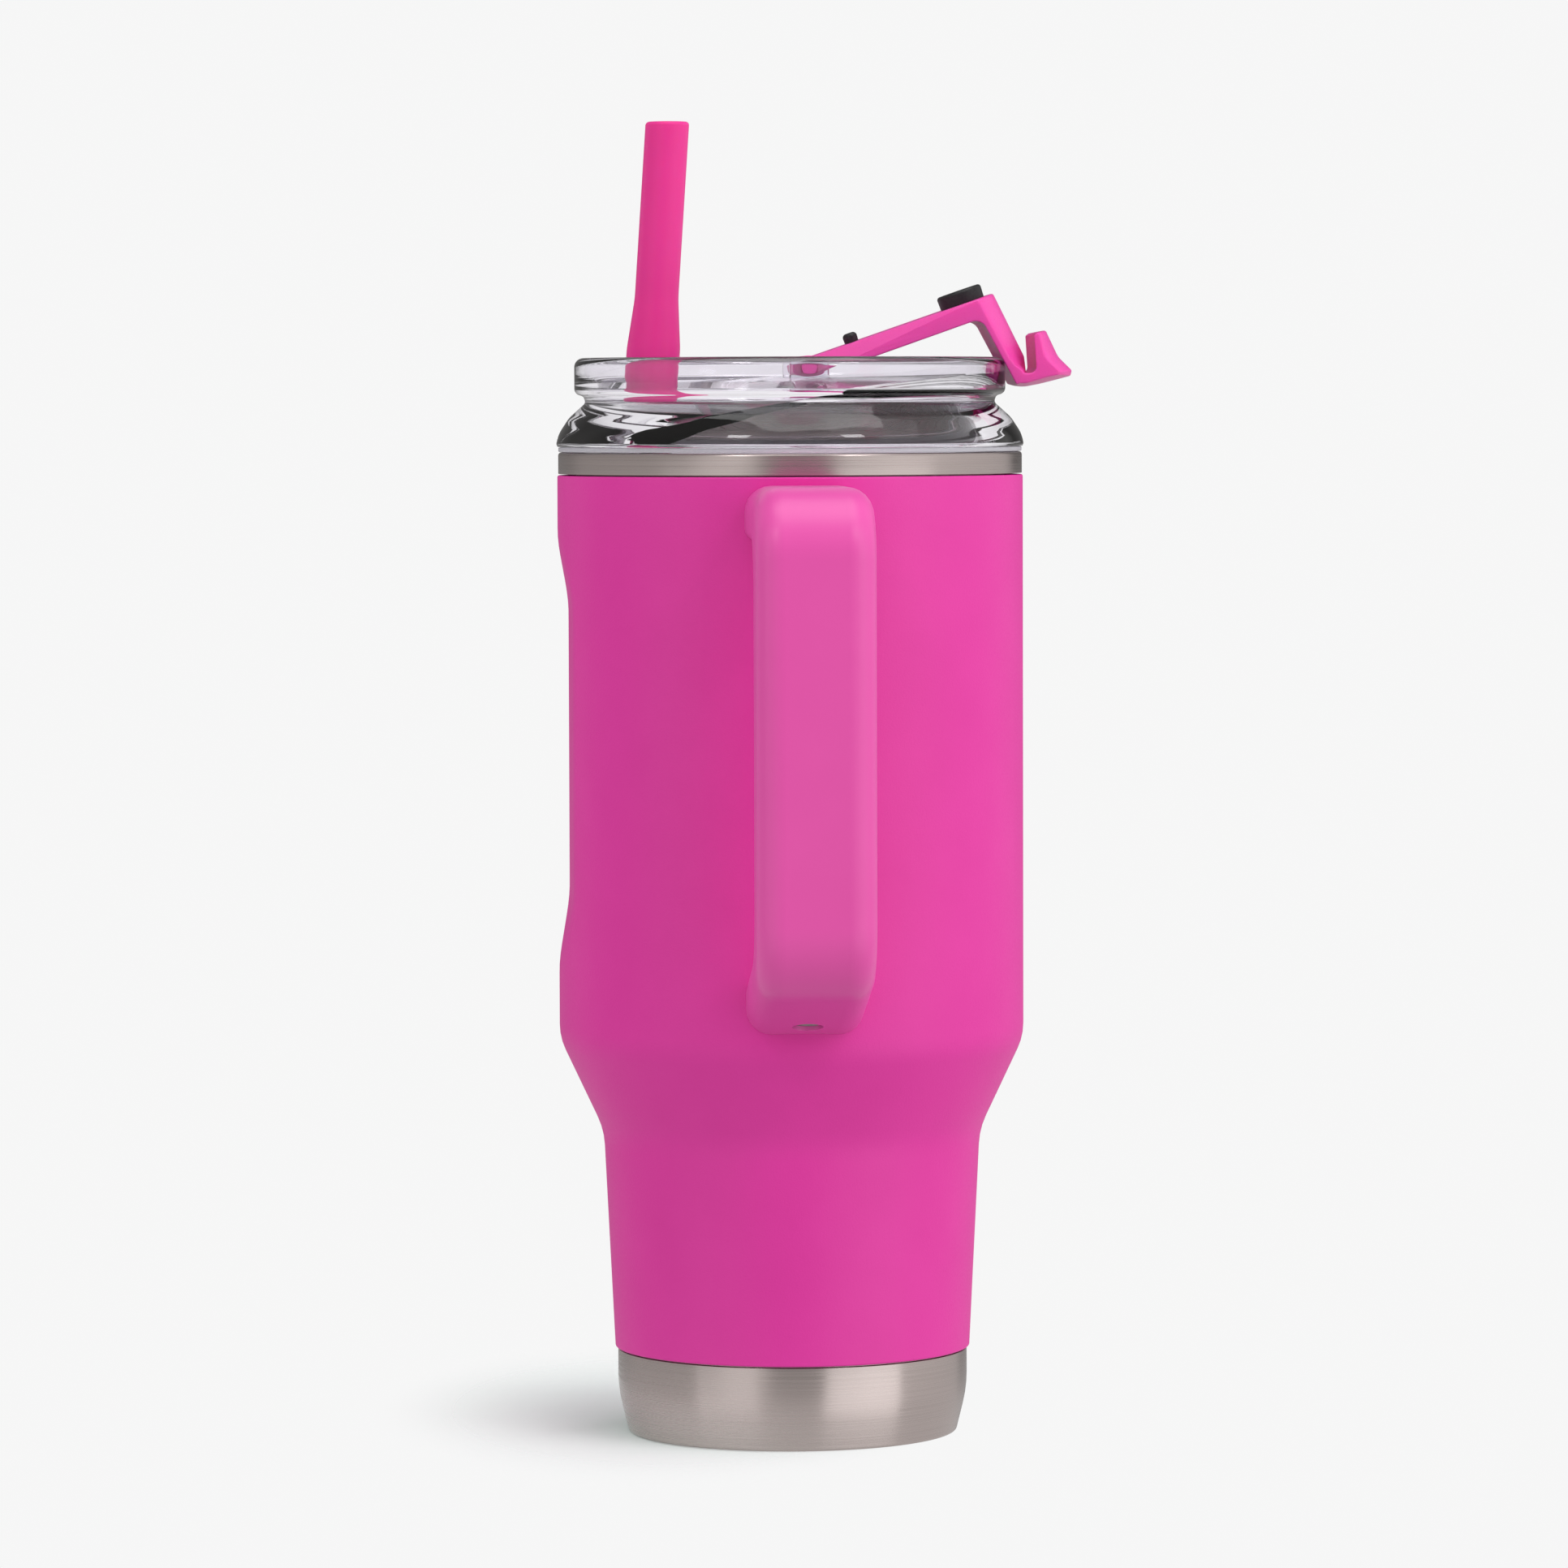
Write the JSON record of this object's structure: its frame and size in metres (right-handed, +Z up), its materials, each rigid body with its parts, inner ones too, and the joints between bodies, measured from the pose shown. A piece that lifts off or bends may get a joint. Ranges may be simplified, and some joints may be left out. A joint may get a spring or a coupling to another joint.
{
  "type": "insulated tumbler with lid",
  "caption": "Double-walled steel tumbler with a side handle, a clear lid with a flip cover that clips over its ring, and a straw.",
  "frame": {"origin": "centre of the flat underside, on the vessel's axis", "axes": "+Z up along the vessel's axis, the handle towards -Y, the flat panel and the straw towards -X, the open flip cover towards +X"},
  "size_m": [0.1131, 0.1462, 0.2875],
  "materials": {
    "powder_coat": "fine satin powder coat, pink",
    "stainless": "brushed round the axis",
    "stainless_plain": "plain pressed sheet",
    "handle_plastic": "smooth satin moulding, pink",
    "cover_plastic": "semi-gloss moulding, pink",
    "clear_plastic": "clear, polished, faint lilac tint",
    "seal_silicone": "translucent white silicone",
    "straw_silicone": "smooth soft silicone, pink",
    "straw_plastic": "smooth extruded tube, pink",
    "black_silicone": "satin moulded silicone, black",
    "getter": "sintered dark grey",
    "seal_bead": "fused vacuum seal, grey"
  },
  "bodies": {
    "vessel": {"outer_shell": "powder_coat", "inner_liner": "stainless", "base_cup": "stainless", "base_cover": "stainless_plain", "vacuum_seal_bead": "seal_bead", "getter_holder": "stainless_plain", "getter_pellet": "getter", "handle": "handle_plastic", "handle_bracket_upper": "stainless_plain", "handle_bracket_lower": "stainless_plain", "handle_screw": "stainless_plain", "handle_nut": "stainless_plain"},
    "lid": {"lid_body": "clear_plastic", "lid_gasket": "seal_silicone", "rim_seal": "seal_silicone", "straw_grommet": "seal_silicone"},
    "cover": {"flip_cover": "cover_plastic", "spout_plug": "black_silicone", "vent_plug": "black_silicone"},
    "straw": {"straw_mouthpiece": "straw_silicone", "straw_tube": "straw_plastic"}
  },
  "joints": [
    {"name": "lid_lift", "type": "slide", "parent": "vessel", "child": "lid", "axis": [0, 0, 1], "range_m": [0, 0.22]},
    {"name": "cover_hinge", "type": "hinge", "parent": "lid", "child": "cover", "pos_m": [0.00345, 0, 0.23295], "axis": [0, -1, 0], "range_deg": [0, 176.4], "deforming": ["straw_mouthpiece"]},
    {"name": "straw_lift", "type": "slide", "parent": "lid", "child": "straw", "axis": [0, 0, -1], "range_m": [-0.235, 0]}
  ]
}
